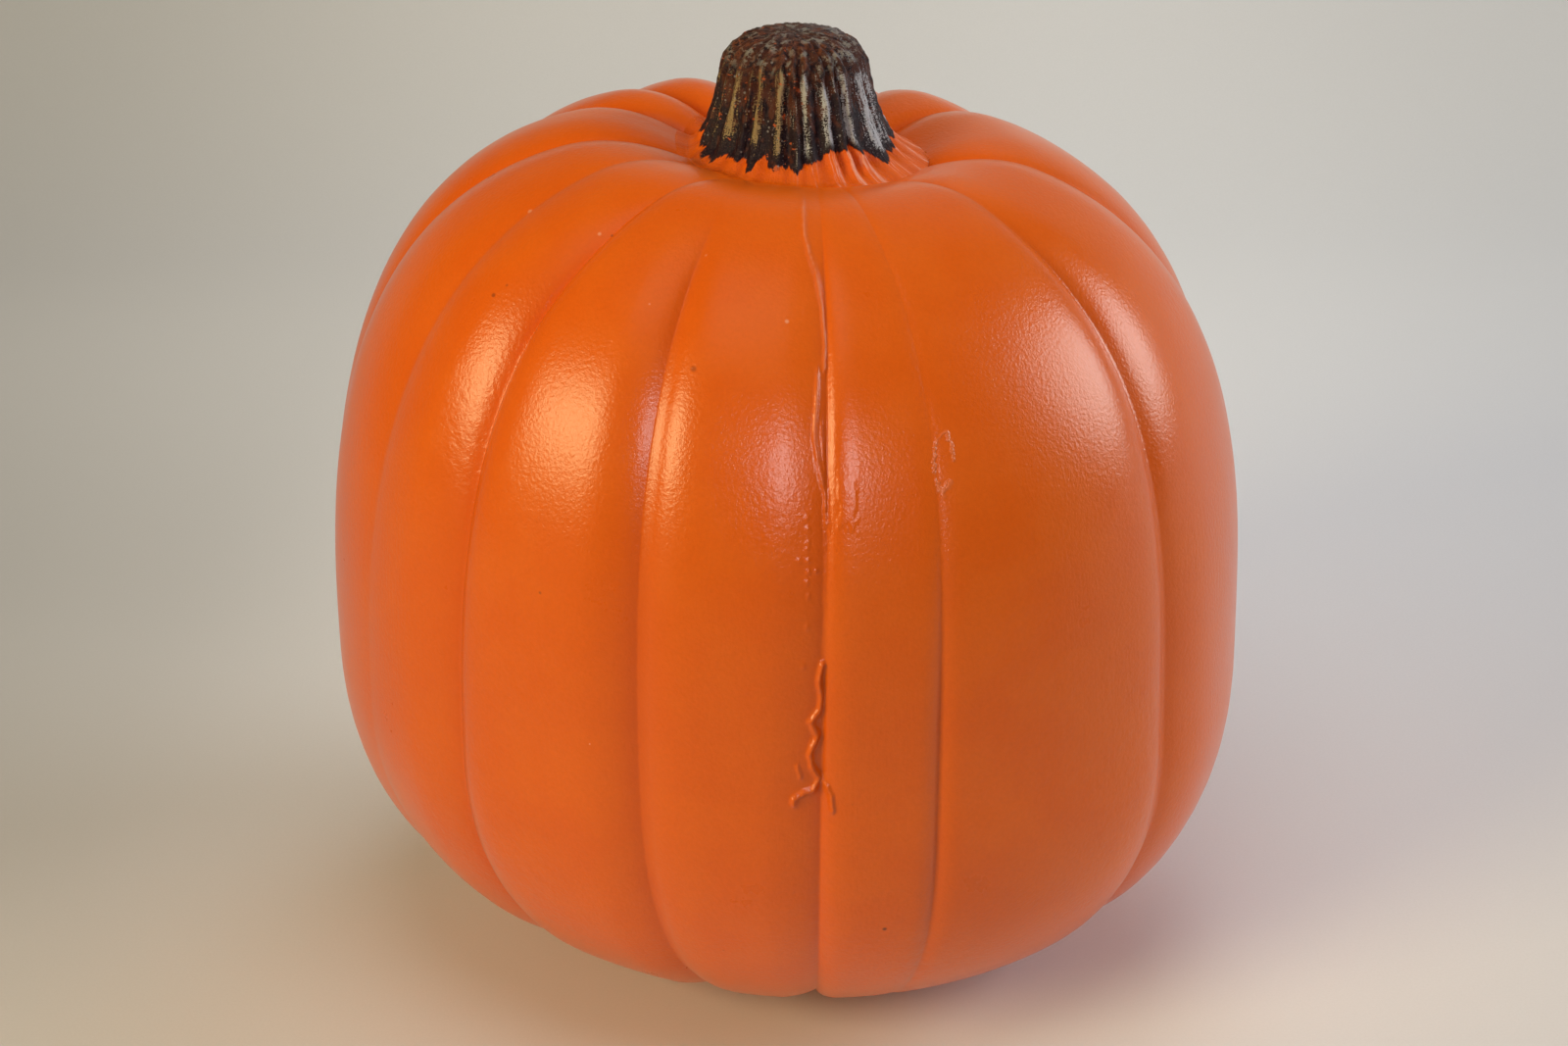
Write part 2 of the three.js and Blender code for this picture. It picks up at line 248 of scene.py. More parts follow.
def groove_depth(body, azimuth, latitude):
    """Depth of the skin under the crest line."""
    shoulder = smoothstep(*SHOULDER_LATITUDES, latitude)
    pole = smoothstep(*POLE_LATITUDES, latitude)
    bottom = smoothstep(*BOTTOM_LATITUDES, latitude)
    depth = 0.0
    for index, groove in enumerate(GROOVES):
        aside = wrapped(azimuth - groove_azimuth(index, latitude))
        at_pole, at_shoulder, at_belly, at_bottom = np.array(groove.depths) * MM
        reach = np.where(aside < 0, *groove.reach)
        crispness = np.where(aside < 0, *groove.crisp)
        away = (np.hypot(aside, groove.rounding) - groove.rounding) / reach
        deepest = at_belly + (at_shoulder - at_belly) * shoulder
        deepest = deepest + (at_pole - at_shoulder) * pole + (at_bottom - at_belly) * bottom
        depth = depth + deepest * roll_off(1 - away, crispness)
    radius = crest_line(body, latitude)[0]
    fade = np.where(latitude < 0, smoothstep(body.flat_radius, body.groove_start, radius), 1.0)
    return depth * fade


def hollow(body, radius):
    """How far the skin falls away towards the stem at a radius."""
    inward = np.clip((body.hollow_radius - radius) / (body.hollow_radius - body.hollow_inner), 0, 2)
    return body.hollow_drop * inward**2


def skin(body, azimuth, latitude, relief):
    """Points of the skin, as rows of x, y, z, from azimuths, latitudes and the height of their relief."""
    radius, height, normal_r, normal_z = crest_line(body, latitude)
    depth = groove_depth(body, azimuth, latitude) - relief
    rise = np.sin(np.radians(latitude))
    turn = np.radians(azimuth)
    radius = radius - normal_r * depth
    height = height - normal_z * depth
    height = height - np.where(latitude > 0, hollow(body, radius), 0)
    radius = radius * (1 - OVAL * np.cos(2 * turn) - DIAGONAL * rise * np.sin(2 * turn))
    height = height * (1 - TIP * np.sin(turn) * np.clip(radius / body.radius, 0, 1))
    x = radius * np.sin(turn) + LEAN * (height - body.radius) + TOP_DRIFT[0] * rise**2
    y = -radius * np.cos(turn) + TOP_DRIFT[1] * rise**2
    return np.stack([x, y, np.maximum(height - body.flat_cut, 0)], axis=-1)


# ---- meshes from lathed grids ----


def add_object(name, data):
    piece = bpy.data.objects.new(name, data)
    bpy.context.collection.objects.link(piece)
    return piece


def add_surface(name, shape):
    """An object with smooth shading from a bmesh, which is used up."""
    bmesh.ops.recalc_face_normals(shape, faces=shape.faces)
    for face in shape.faces:
        face.smooth = True
    mesh = bpy.data.meshes.new(name)
    shape.to_mesh(mesh)
    shape.free()
    return add_object(name, mesh)


def lathe_grid(name, rows, columns):
    """A closed surface of rows and columns of vertices. Returns the object and each vertex's row and column;
    the two vertices that close its ends have the rows -1 and rows."""
    grid = bmesh.new()
    levels = [(0.0, -1.0), *((1.0, float(row)) for row in range(rows)), (0.0, float(rows))]
    line = [grid.verts.new((radius, 0.0, level)) for radius, level in levels]
    edges = [grid.edges.new(pair) for pair in zip(line, line[1:])]
    bmesh.ops.spin(
        grid, geom=line + edges, cent=(0, 0, 0), axis=(0, 0, 1), angle=math.tau, steps=columns, use_merge=True
    )
    bmesh.ops.remove_doubles(grid, verts=grid.verts, dist=1e-5)
    piece = add_surface(name, grid)
    places = get_points(piece)
    row = np.rint(places[:, 2]).astype(int)
    step = math.tau / columns
    column = np.rint(np.arctan2(places[:, 1], places[:, 0]) / step).astype(int) % columns
    return piece, row, column


def get_points(piece):
    points = np.empty(len(piece.data.vertices) * 3)
    piece.data.vertices.foreach_get("co", points)
    return points.reshape(-1, 3)


def set_points(piece, points):
    piece.data.vertices.foreach_set("co", np.ravel(points))
    piece.data.update()


def set_attribute(piece, name, values, kind="FLOAT", field="value"):
    layer = piece.data.attributes.new(name, kind, "POINT")
    layer.data.foreach_set(field, np.ravel(values))


def finish_piece(piece, node_name, material):
    piece.data.materials.append(material)
    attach(piece, "root")
    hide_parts(node_name)


# ---- body ----

RIB_STEPS = 20                     # columns across a rib
GROOVE_CROWDING = 0.85             # how much these columns crowd towards the grooves, up to 1
SEAM_STEP = 0.16                   # degrees between the fine columns beside the seam
SEAM_FINE = 28                     # fine columns on each side of the seam
SEAM_COARSE = 14                   # further columns from there to the next groove
COARSE_POWERS = (0.9, 1.6)         # they crowd towards +X by these, on the seam's -X and its +X side
SEAM_REACH = 12.0                  # degrees on either side of the seam that its relief is worked out for
BODY_ROWS = 300
CRACK_REACH = (97.0, 177.0)        # rows crowd between these distances down the seam, in millimetres
CRACK_CROWDING = 3.0
CRACK_FADE = 4.0                   # millimetres over which the crowding starts and ends
FINE_MARKS = 3601                  # latitudes that distances down the skin are measured over
UNDER_FOOT = 0.8                   # the skin ends at this share of the foot's radius
DEEPEST_GROOVE = 4.5 * MM


def body_columns(latitude):
    """Azimuth of every column at every latitude: columns follow the grooves, and crowd beside the seam."""
    columns = []
    count = len(GROOVES)
    even = np.linspace(-1, 1, RIB_STEPS + 1)[:-1]
    crowded = (1 - GROOVE_CROWDING) * even - GROOVE_CROWDING * np.cos((even + 1) * math.pi / 2)
    fine = np.arange(SEAM_FINE) * SEAM_STEP
    shares = np.linspace(0, 1, SEAM_COARSE + 1)[:-1]
    reach = SEAM_FINE * SEAM_STEP
    for index in range(count):
        following = (index + 1) % count
        start = groove_azimuth(index, latitude)
        end = groove_azimuth(following, latitude) + (360 if following == 0 else 0)
        if following == SEAM_GROOVE:
            columns += [start + (end - reach - start) * share ** COARSE_POWERS[0] for share in shares]
            columns += [end - reach + offset for offset in fine]
        elif index == SEAM_GROOVE:
            columns += [start + offset for offset in fine]
            spaced = [1 - (1 - share) ** COARSE_POWERS[1] for share in shares]
            columns += [start + reach + (end - reach - start) * share for share in spaced]
        else:
            columns += [start + (end - start) * (across + 1) / 2 for across in crowded]
    return np.stack(columns, axis=-1)


def length_down(body, latitude):
    """Distance down the crest line from the seam's top, in millimetres."""
    marks = np.linspace(90, -90, FINE_MARKS)
    radius, height = crest_line(body, marks)[:2]
    run = np.concatenate([[0], np.cumsum(np.hypot(np.diff(radius), np.diff(height)))])
    start = np.interp(-SEAM_TOP_LATITUDE, -marks, run)
    return (np.interp(-np.asarray(latitude), -marks, run) - start) / MM


def body_latitudes(body, stem):
    """Latitudes of the rows, from the flat spot up to under the stem, crowded where the skin is cracked."""
    lowest = float(latitude_of_radius(body, body.flat_radius, -1))
    highest = float(latitude_of_radius(body, stem.foot_radius * UNDER_FOOT, 1))
    marks = np.linspace(lowest, highest, FINE_MARKS)
    down = length_down(body, marks)
    start, end = CRACK_REACH
    cracked = smoothstep(start - CRACK_FADE, start, down) * (1 - smoothstep(end, end + CRACK_FADE, down))
    crowding = 1 + (CRACK_CROWDING - 1) * cracked
    run = np.concatenate([[0], np.cumsum(crowding[1:] * np.abs(np.diff(down)))])
    return np.interp(np.linspace(0, run[-1], BODY_ROWS), run, marks)


def distance_to_path(side, down, path):
    nearest = np.full(side.shape, np.inf)
    for (side_a, down_a), (side_b, down_b) in zip(path, path[1:]):
        along = np.array([side_b - side_a, down_b - down_a])
        share = ((side - side_a) * along[0] + (down - down_a) * along[1]) / (along @ along)
        share = np.clip(share, 0, 1)
        away = np.hypot(side - side_a - share * along[0], down - down_a - share * along[1])
        nearest = np.minimum(nearest, away)
    return nearest


def seam_relief(body, azimuth, latitude):
    """Height of the seam's ridges, cracks, beads and film over the skin, in metres."""
    down = length_down(body, latitude)
    meridian = SEAM_AZIMUTH + SEAM_DRIFT * np.sin(np.radians(latitude))
    aside = wrapped(azimuth - meridian)
    side = np.radians(aside) * crest_line(body, latitude)[0] / MM
    height = np.zeros_like(side)
    near = np.abs(aside) < SEAM_REACH
    side, down = side[near], down[near]
    wobble = np.array([noise.noise((a * 0.9, b * 0.9, 3.1)) for a, b in zip(side, down)])
    raised = np.zeros_like(side)
    for peak, half_width, path in SEAM_RIDGES:
        away = distance_to_path(side, down, path) / (half_width * (1 + 0.25 * wobble))
        raised = np.maximum(raised, peak * (1 + 0.3 * wobble) * np.exp(-(away**2)))
    for bead_side, bead_down in SEAM_BEADS:
        away = np.hypot(side - bead_side, down - bead_down) / BEAD_RADIUS
        raised = raised + BEAD_HEIGHT * np.exp(-(away**2))
    (left, right), (top, bottom) = FILM_PATCH
    inside = np.minimum(np.minimum(side - left, right - side), np.minimum(down - top, bottom - down) * 0.5)
    raised = raised + FILM_THICKNESS * smoothstep(0, 0.5, inside + 1.6 * wobble)
    height[near] = raised * MM
    return height


class PUMPKIN_OT_body(bpy.types.Operator):
    """Make the painted, ribbed body"""

    bl_idname = "pumpkin.body"
    bl_label = "Body"

    def execute(self, context):
        body, stem = context.scene.pumpkin_body, context.scene.pumpkin_stem
        latitudes = body_latitudes(body, stem)
        azimuths = body_columns(latitudes)
        piece, row, column = lathe_grid("painted_body", BODY_ROWS, azimuths.shape[1])
        inner = np.clip(row, 0, BODY_ROWS - 1)
        latitude = latitudes[inner]
        azimuth = azimuths[inner, column]
        relief = seam_relief(body, azimuth, latitude)
        points = skin(body, azimuth, latitude, relief)
        for end, edge in ((-1, 0), (BODY_ROWS, BODY_ROWS - 1)):
            points[row == end] = points[row == edge].mean(axis=0)
        set_points(piece, points + model_shift(body))
        set_attribute(piece, "groove", groove_depth(body, azimuth, latitude) / DEEPEST_GROOVE)
        set_attribute(piece, "seam", relief / MM)
        finish_piece(piece, "pumpkin_body", orange_paint(context.scene.pumpkin_paint))
        return {"FINISHED"}


def model_shift(body):
    """The frame's origin is under the middle of the body's box, so the formulas are moved to it."""
    azimuth, latitude = np.meshgrid(np.arange(0.0, 360.0, 0.5), np.arange(-40.0, 50.0, 1.0))
    points = skin(body, azimuth, latitude, 0)[..., :2].reshape(-1, 2)
    middle = (points.min(axis=0) + points.max(axis=0)) / 2
    low, high = (np.array(corner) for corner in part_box("pumpkin_body"))
    return np.array([*((low + high)[:2] / 2 - middle), 0.0])


# ---- stem ----

STEM_RIB_STEPS = 13          # columns across a rib
FLARE_ROWS = 84              # rows up the foot and the side
DOME_ROWS = 34
SKIRT_SHARE = -0.22          # where the foot's skirt starts: a share of the stem's height, below the foot
DOME_POWER = 3.2             # squareness of the shoulder of the cut end
FLARE_POWER = 4.0            # how fast the flare of the foot dies away upwards
FILLET = 1.8 * MM            # size of the round between foot and body
SKIRT_TOP = 0.6              # the fillet has died out at this share of the stem's height
HEM_DEPTH = 1.6 * MM         # how far the skirt's hem sinks under the skin
PLUG_DEPTH = 4 * MM          # how far below the hem its middle lies, hidden in the body
RIB_SIZE = (0.85, 0.45)      # height of the ribs against the depth of a valley: its mean, and how it varies
RIB_BEND = 3.0               # degrees by which a rib wanders
LUMPS = (0.45 * MM, 0.24 * MM)   # height of the coarse and the fine unevenness of the stem
FLUTE_SCALE = 20             # units of the texture's space to a radian round the stem
FLUTE_LENGTH = 1.25          # the side of the stem is as long in it as this many radians
EDGE_TIPS = 2.0              # how far the paint's edge runs up and down, in millimetres
SKIN_CORRECTIONS = 14        # rounds that find the skin under a point
# level of the ragged lower edge of the dark paint in millimetres, by azimuth in degrees
PAINT_EDGE = (
    (-180, 214.0), (-120, 213.6), (-80, 214.4), (-72, 213.2), (-55, 211.8), (-42, 213.8), (-29, 212.3),
    (-14, 213.1), (-5, 210.9), (6, 212.3), (12, 214.5), (24, 215.0), (33, 215.1), (43, 214.4), (58, 210.8),
    (71, 210.6), (90, 213.5), (120, 214.2), (180, 214.0),
)
# the bolder strokes of dry brushing: azimuth and half width in degrees, then the lowest and the highest level
# in millimetres, and the strength. The last two lie across the cut end.
BRUSH_STROKES = (
    (-66, 3.0, 216.0, 231.0, 0.55),
    (-52, 5.5, 216.5, 233.0, 0.95),
    (-29, 4.5, 217.0, 236.0, 0.85),
    (-11, 4.5, 215.5, 235.0, 1.00),
    (7, 2.4, 212.0, 235.0, 0.90),
    (24, 5.0, 213.5, 231.0, 1.25),
    (40, 3.5, 215.0, 232.5, 1.00),
    (65, 10.0, 213.0, 232.0, 1.40),
    (78, 6.0, 211.0, 219.0, 0.80),
    (104, 6.0, 214.0, 233.0, 0.80),
    (146, 6.0, 215.0, 234.0, 0.80),
    (188, 7.0, 214.0, 234.0, 0.85),
    (214, 5.0, 215.0, 232.0, 0.75),
    (243, 6.0, 215.0, 234.0, 0.90),
    (55, 14.0, 234.5, 238.0, 0.75),
    (120, 50.0, 237.0, 241.0, 0.85),
)


def skin_height(body, x, y):
    """Level of the body's skin over places on the floor plan, found by repeated correction."""
    plan_x, plan_y = x.copy(), y.copy()
    for _ in range(SKIN_CORRECTIONS):
        latitude = latitude_of_radius(body, np.hypot(plan_x, plan_y), 1)
        points = skin(body, np.degrees(np.arctan2(plan_x, -plan_y)), latitude, 0)
        plan_x += x - points[:, 0]
        plan_y += y - points[:, 1]
    return points[:, 2]


def stem_crest(azimuth):
    """1 on the crest of a rib, 0 in the valley between two, and the number of the nearest rib."""
    edges = np.array(STEM_RING, dtype=float)
    turned = (azimuth - edges[0]) % 360 + edges[0]
    index = np.clip(np.searchsorted(edges, turned, side="right") - 1, 0, len(edges) - 2)
    share = (turned - edges[index]) / (edges[index + 1] - edges[index])
    nearest = (index + (share > 0.5)) % len(STEM_RIBS)
    return np.cos(np.pi * share) ** 2, nearest


def stem_profile(stem, share, dome):
    """Radius and height of the stem, and its outward normal. share climbs from 0 at the foot to 1 at the rim,
    and dome then turns from 0 at the rim to a right angle in the middle of the cut end."""
    flare = stem.foot_radius - stem.radius - stem.taper
    tall = stem.height - stem.foot_height
    radius = stem.radius + stem.taper * (1 - share) + flare * (1 - share) ** FLARE_POWER
    height = stem.foot_height + tall * share
    normal_r = np.full_like(radius, tall)
    normal_z = stem.taper + flare * FLARE_POWER * (1 - share) ** (FLARE_POWER - 1)
    on_dome = dome > 0
    inward = np.clip(np.cos(dome), 0, 1)
    radius = np.where(on_dome, stem.radius * inward ** (2 / DOME_POWER), radius)
    height = np.where(on_dome, stem.height + stem.dome_rise * np.sin(dome), height)
    steepness = DOME_POWER * (radius / stem.radius) ** (DOME_POWER - 1) / stem.radius
    normal_r = np.where(on_dome, steepness, normal_r)
    normal_z = np.where(on_dome, 2 * np.sin(dome) / stem.dome_rise, normal_z)
    length = np.hypot(normal_r, normal_z)
    return radius, height, normal_r / length, normal_z / length


def stem_relief(stem, azimuth, share, along, radius, height):
    """How far the surface stands off the stem's profile, and 1 on a rib's crest to 0 in a valley. Each rib
    has its own height and wanders a little. Only on the +X side do they run down the foot."""
    bend = np.array([noise.noise((a * 0.05, b * 3.0, 7.7)) for a, b in zip(azimuth, along)])
    crest, nearest = stem_crest(azimuth + RIB_BEND * bend * smoothstep(0, 0.3, share))
    rib_size = np.array([
        RIB_SIZE[0] + RIB_SIZE[1] * noise.noise((rib * 3.7, 0.5, 0.5)) for rib in range(len(STEM_RIBS))
    ])
    turned = wrapped(azimuth)
    toes = smoothstep(5, 35, turned) * smoothstep(175, 130, turned)
    depth = stem.rib_depth * (1 + 0.35 * smoothstep(0.45, 0.12, share))
    depth = depth * (toes * smoothstep(-0.12, 0.15, share) + (1 - toes) * smoothstep(0.05, 0.32, share))
    depth = depth * smoothstep(0.35, 1.0, radius / stem.radius)
    turn = np.radians(azimuth)
    places = np.stack([radius * np.sin(turn), -radius * np.cos(turn), height], axis=-1) / MM
    coarse = np.array([noise.noise((x * 0.35, y * 0.35, z * 0.18)) for x, y, z in places])
    fine = np.array([noise.noise((x * 1.1, y * 1.1, z * 0.6 + 9)) for x, y, z in places])
    uneven = (LUMPS[0] * coarse + LUMPS[1] * fine) * smoothstep(-0.02, 0.2, share)
    return uneven - depth * (1 - crest) * rib_size[nearest], crest


def rest_on_skin(body, share, x, y, height):
    """Height of the stem, whose foot runs out over the body in a fillet until its hem sinks just under it."""
    skirt = share < SKIRT_TOP
    ground = np.zeros_like(height)
    ground[skirt] = skin_height(body, x[skirt], y[skirt])
    ground = ground - HEM_DEPTH * smoothstep(-0.08, SKIRT_SHARE, share)
    lifted = (height + ground + np.hypot(height - ground, FILLET)) / 2
    return np.where(skirt, height + (lifted - height) * smoothstep(SKIRT_TOP, SKIRT_TOP / 2, share), height)


def brushed(azimuth, height):
    """Strength of the dry brushing's bolder strokes."""
    strength = np.zeros_like(azimuth)
    level = height / MM
    for middle, half_width, bottom, top, boldness in BRUSH_STROKES:
        across = wrapped(azimuth - middle) / half_width
        along = smoothstep(bottom - 1.5, bottom + 1.5, level) * smoothstep(top + 1.0, top - 2.5, level)
        strength = np.maximum(strength, boldness * np.exp(-(across**2)) * along)
    return strength


class PUMPKIN_OT_stem(bpy.types.Operator):
    """Make the fluted stem and its flared foot"""

    bl_idname = "pumpkin.stem"
    bl_label = "Stem"

    def execute(self, context):
        body, stem = context.scene.pumpkin_body, context.scene.pumpkin_stem
        pairs = zip(STEM_RING, STEM_RING[1:])
        azimuths = np.concatenate([np.linspace(*pair, STEM_RIB_STEPS, endpoint=False) for pair in pairs])
        rows = FLARE_ROWS + DOME_ROWS
        piece, row, column = lathe_grid("painted_stem", rows, len(azimuths))
        inner = np.clip(row, 0, rows - 1)
        share = SKIRT_SHARE + (1 - SKIRT_SHARE) * np.clip(inner / (FLARE_ROWS - 1), 0, 1)
        dome = np.clip((inner - FLARE_ROWS + 1) / (DOME_ROWS + 0.5), 0, 1) * math.pi / 2
        along = share + dome
        azimuth = azimuths[column]

        radius, height, normal_r, normal_z = stem_profile(stem, share, dome)
        relief, crest = stem_relief(stem, azimuth, share, along, radius, height)
        radius = radius + normal_r * relief
        height = height + normal_z * relief
        across_x, across_y = np.sin(np.radians(azimuth)), -np.cos(np.radians(azimuth))
        x, y = stem.centre[0] + radius * across_x, stem.centre[1] + radius * across_y
        height = rest_on_skin(body, share, x, y, height)
        points = np.stack([x, y, height], axis=-1)
        points[row == -1] = points[row == 0].mean(axis=0) - (0, 0, PLUG_DEPTH)
        points[row == rows] = points[row == rows - 1].mean(axis=0)
        set_points(piece, points + model_shift(body))

        edge = np.interp(wrapped(azimuth), *zip(*PAINT_EDGE))
        tips = np.array([noise.noise((a * 0.16, 2.2, 5.5)) for a in azimuth])
        over_edge = height / MM - edge + 0.5 * (crest - 0.5) + EDGE_TIPS * tips
        set_attribute(piece, "over_edge", over_edge - 12 * smoothstep(0.02, -0.08, share))
        set_attribute(piece, "stroke", brushed(azimuth, height))
        set_attribute(piece, "rib", crest)
        set_attribute(piece, "cut_end", np.sin(dome))
        flute = np.stack([across_x, across_y, along * FLUTE_LENGTH], axis=-1) * FLUTE_SCALE
        set_attribute(piece, "flute", flute, "FLOAT_VECTOR", "vector")
        finish_piece(piece, "stem", stem_paint(context.scene.pumpkin_paint))
        return {"FINISHED"}


# ---- materials ----

# flaws of the paint: each a place on the skin, a radius in millimetres, and how dark it is, paler if under 0
FLECKS = (
    ((-55.8, -93.7, 135.9), 0.70, 0.75),
    ((22.0, -101.9, 51.0), 0.75, 0.80),
    ((-38.1, -54.6, 207.5), 0.65, 0.75),
    ((14.6, -107.3, 87.2), 0.55, 0.50),
    ((-19.6, -86.7, 187.4), 1.10, 0.45),
    ((-65.6, -58.7, 195.0), 0.70, 0.50),
    ((-62.5, -58.5, 197.4), 0.60, 0.45),
    ((-16.1, -97.5, 43.1), 0.60, 0.40),
    ((-16.7, -65.4, 206.5), 0.60, -0.35),
    ((-41.0, -54.2, 207.9), 0.70, -0.45),
    ((-29.3, -75.0, 198.5), 0.45, -0.35),
    ((1.5, -79.8, 195.6), 0.70, -0.35),
    ((-57.7, -40.0, 208.6), 0.80, -0.30),
    ((-55.6, -95.1, 120.2), 0.40, -0.50),
    ((-85.4, -21.1, 195.3), 0.60, -0.25),
    ((-45.5, -99.4, 100.0), 0.40, -0.50),
    ((-33.3, -101.0, 106.6), 0.40, -0.50),
)
SCUFF_PLACE = (0.0361, -0.0895, 0.1649)     # middle of a ring of lifted paint
SCUFF_SIZE = (0.0022, 0.02, 0.0062)         # its half width, its reach into the skin and its half height


MIX_BELOW, MIX_ABOVE, MIX_RESULT = 6, 7, 2   # where a Mix node keeps its two colours and their mixture


def new_material(name):
    material = bpy.data.materials.new(name)
    material.use_nodes = True
    return material, material.node_tree, material.node_tree.nodes["Principled BSDF"]


def set_inputs(tree, node, inputs):
    """Set a node's inputs to values, or link them to other nodes' outputs."""
    for name, value in dict(inputs).items():
        if isinstance(value, bpy.types.NodeSocket):
            tree.links.new(value, node.inputs[name])
        else:
            node.inputs[name].default_value = value


def put(tree, kind, inputs=(), **settings):
    """Add a node with its settings and inputs."""
    node = tree.nodes.new(kind)
    for name, value in settings.items():
        setattr(node, name, value)
    set_inputs(tree, node, inputs)
    return node


def calculate(tree, operation, *values):
    return put(tree, "ShaderNodeMath", enumerate(values), operation=operation).outputs[0]


def fade(tree, value, low, high):
    """smoothstep as a node: 0 where a value is at low and 1 where it is at high."""
    ends = {"Value": value, "From Min": low, "From Max": high}
    return put(tree, "ShaderNodeMapRange", ends, interpolation_type="SMOOTHSTEP").outputs["Result"]


def blend(tree, share, below, above):
    """A colour that goes from below to above as share goes from 0 to 1."""
    inputs = {0: share}
    for socket, colour in ((MIX_BELOW, below), (MIX_ABOVE, above)):
        inputs[socket] = colour if isinstance(colour, bpy.types.NodeSocket) else (*colour, 1)
    return put(tree, "ShaderNodeMix", inputs, data_type="RGBA").outputs[MIX_RESULT]


def shade(tree, colour, factor):
    """A colour made lighter or darker by a factor."""
    return put(tree, "ShaderNodeVectorMath", {0: colour, "Scale": factor}, operation="SCALE").outputs[0]


def waves(tree, vector, scale, detail=2.0, rough=0.5):
    """Noise round one half, in waves a unit."""
    values = {"Vector": vector, "Scale": scale, "Detail": detail, "Roughness": rough}
    return put(tree, "ShaderNodeTexNoise", values).outputs[0]


def stretched(tree, vector, scale):
    return put(tree, "ShaderNodeMapping", {"Vector": vector, "Scale": scale}).outputs[0]


def read(tree, name, output="Fac"):
    return put(tree, "ShaderNodeAttribute", attribute_name=name).outputs[output]


def object_place(tree):
    return put(tree, "ShaderNodeTexCoord").outputs["Object"]


def weigh(tree, value, factor):
    return calculate(tree, "MULTIPLY", value, factor)


def add_to(tree, total, value, factor):
    """total + value * factor"""
    return calculate(tree, "MULTIPLY_ADD", value, factor, total)


def spread(tree, value, low, high, to_low, to_high):
    """A value carried over from the range low to high to the range to_low to to_high."""
    ends = {"Value": value, "From Min": low, "From Max": high, "To Min": to_low, "To Max": to_high}
    return put(tree, "ShaderNodeMapRange", ends).outputs["Result"]


def along_axis(tree, vector, axis):
    return put(tree, "ShaderNodeSeparateXYZ", [(0, vector)]).outputs[axis]


def bump(tree, height, distance):
    return put(tree, "ShaderNodeBump", {"Height": height, "Distance": distance}).outputs[0]


def build_film(group, given):
    place = given["Vector"]
    height = weigh(group, waves(group, place, given["Peel Scale"], 2.5), given["Peel"])
    brushed_here = fade(group, waves(group, place, 30, 1), 0.46, 0.64)
    streaks = weigh(group, waves(group, stretched(group, place, (1, 1, 0.07)), 1300), brushed_here)
    height = add_to(group, height, streaks, given["Streaks"])
    lumpy_here = fade(group, waves(group, place, 22, 0), 0.5, 0.7)
    lumps = weigh(group, waves(group, place, 330, 1), lumpy_here)
    height = add_to(group, height, lumps, given["Lumps"])
    height = add_to(group, height, waves(group, place, 3000, 1), given["Grain"])
    return height, waves(group, place, 45, 5, 0.62)


def build_specks(group, given):
    cells = put(group, "ShaderNodeTexVoronoi", {"Vector": given["Vector"], "Scale": given["Scale"]}).outputs
    lots = put(group, "ShaderNodeSeparateColor", {"Color": cells["Color"]}).outputs
    chosen = calculate(group, "LESS_THAN", lots[0], given["Share"])
    radius = weigh(group, given["Size"], calculate(group, "ADD", lots[1], 0.4))
    inside = fade(group, calculate(group, "DIVIDE", cells["Distance"], radius), 1.0, 0.5)
    return (weigh(group, chosen, inside),)


def place_group(tree, name, outputs, build, inputs):
    """Place a node group, made first if it isn't there yet, and return the placed node's outputs. build gets
    the group and its inputs' sockets, and gives the sockets of its outputs."""
    group = bpy.data.node_groups.get(name)
    if group is None:
        group = bpy.data.node_groups.new(name, "ShaderNodeTree")
        for key in inputs:
            kind = "NodeSocketVector" if key == "Vector" else "NodeSocketFloat"
            group.interface.new_socket(key, in_out="INPUT", socket_type=kind)
        for key in outputs:
            group.interface.new_socket(key, in_out="OUTPUT", socket_type="NodeSocketFloat")
        given, result = group.nodes.new("NodeGroupInput"), group.nodes.new("NodeGroupOutput")
        for key, value in zip(outputs, build(group, given.outputs)):
            group.links.new(value, result.inputs[key])
    node = tree.nodes.new("ShaderNodeGroup")
    node.node_tree = group
    set_inputs(tree, node, inputs)
    return node.outputs


def paint_film(tree, vector, peel_scale, peel, streaks, lumps, grain):
    """Relief of a coat of paint, of orange peel, streaks along Z, lumps and grain, and its mottling."""
    return place_group(tree, "paint_film", ("Height", "Mottle"), build_film, {
        "Vector": vector, "Peel Scale": peel_scale, "Peel": peel,
        "Streaks": streaks, "Lumps": lumps, "Grain": grain,
    })


def specks(tree, vector, scale, share, size):
    """Mask of scattered round specks: a share of the cells of a scale holds one, of a size in cells."""
    return place_group(tree, "specks", ("Mask",), build_specks, {
        "Vector": vector, "Scale": scale, "Share": share, "Size": size,
    })["Mask"]


def orange_colour(tree, place, paint, mottle):
    """The orange paint with its uneven strength and scattered specks."""
    colour = blend(tree, fade(tree, mottle, 0.35, 0.68), paint.orange, paint.orange_thin)
    colour = shade(tree, colour, spread(tree, waves(tree, place, 1000, 3, 0.7), 0.25, 0.75, 0.96, 1.04))
    return blend(tree, weigh(tree, specks(tree, place, 70, 0.05, 0.045), 0.6), colour, (0.9, 0.5, 0.3))


def add_flecks(tree, place, colour):
    for middle, radius, darkness in FLECKS:
        ends = {0: place, 1: Vector(middle) * MM}
        away = put(tree, "ShaderNodeVectorMath", ends, operation="DISTANCE").outputs["Value"]
        mask = fade(tree, away, radius * MM, radius * 0.35 * MM)
        tone = (0.05, 0.015, 0.01) if darkness > 0 else (0.95, 0.62, 0.42)
        colour = blend(tree, weigh(tree, mask, abs(darkness)), colour, tone)
    return colour


